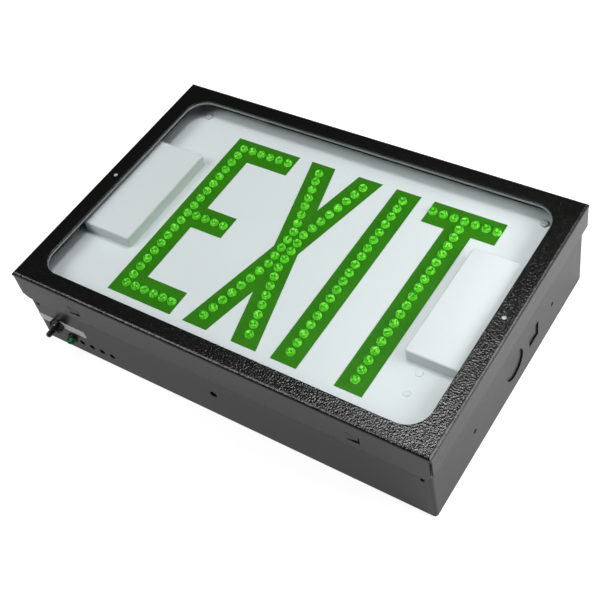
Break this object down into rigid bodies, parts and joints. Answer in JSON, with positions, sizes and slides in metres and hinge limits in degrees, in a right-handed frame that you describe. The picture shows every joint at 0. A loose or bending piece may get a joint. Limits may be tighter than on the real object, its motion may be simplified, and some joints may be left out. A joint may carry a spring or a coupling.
{
  "type": "emergency exit light",
  "caption": "Steel-box emergency exit light with a lift-off glazed cover, green LED word, blank arrow caps, test button, pilot lamp and battery back-up.",
  "frame": {"origin": "middle of the housing's flat back, which goes on the wall", "axes": "+X along the word from its first letter to its last, +Y up the letters, +Z out of the face towards the viewer"},
  "size_m": [0.41, 0.2829, 0.092],
  "materials": {
    "textured_black": "textured black powder coat",
    "black_paint": "semi-gloss black powder coat",
    "white_paint": "smooth semi-gloss white paint",
    "clear_lens": "clear polished polycarbonate",
    "zinc_steel": "bright zinc plated steel",
    "white_plastic": "white moulded plastic, satin",
    "led_green": "tinted clear green epoxy",
    "circuit_board": "green solder mask",
    "black_plastic": "black moulded plastic, satin",
    "core_steel": "varnished steel laminations",
    "battery_wrap": "blue shrink wrap",
    "earth_green": "green dyed zinc plate"
  },
  "bodies": {
    "box": {"housing": "black_paint", "cover_bracket_left": "white_paint", "cover_bracket_right": "white_paint", "face_panel": "white_paint", "panel_rail_lower": "zinc_steel", "panel_rail_upper": "zinc_steel", "panel_screws": "zinc_steel", "arrow_cover_left": "white_plastic", "arrow_cover_right": "white_plastic", "leds_e": "led_green", "leds_x": "led_green", "leds_i": "led_green", "leds_t": "led_green", "led_board": "circuit_board", "board_spacers": "white_plastic", "charger_board": "circuit_board", "charger_standoffs": "zinc_steel", "charger_parts": "black_plastic", "transformer": "core_steel", "battery_pack": "battery_wrap", "battery_strap": "zinc_steel", "terminal_block": "black_plastic", "earth_screw": "earth_green", "switch_body": "black_plastic", "switch_nut": "black_plastic", "pilot_bezel": "black_plastic", "pilot_lamp": "led_green"},
    "cover": {"door_frame": "textured_black", "lens": "clear_lens", "lens_clips": "zinc_steel"},
    "button": {"test_button": "black_plastic"}
  },
  "joints": [
    {"name": "cover_lift", "type": "slide", "parent": "box", "child": "cover", "axis": [0, 0, 1], "range_m": [0, 0.12]},
    {"name": "test_button_press", "type": "slide", "parent": "box", "child": "button", "axis": [0, 1, 0], "range_m": [0, 0.003], "stiffness_N_per_m": 300, "springref_m": -0.002}
  ]
}
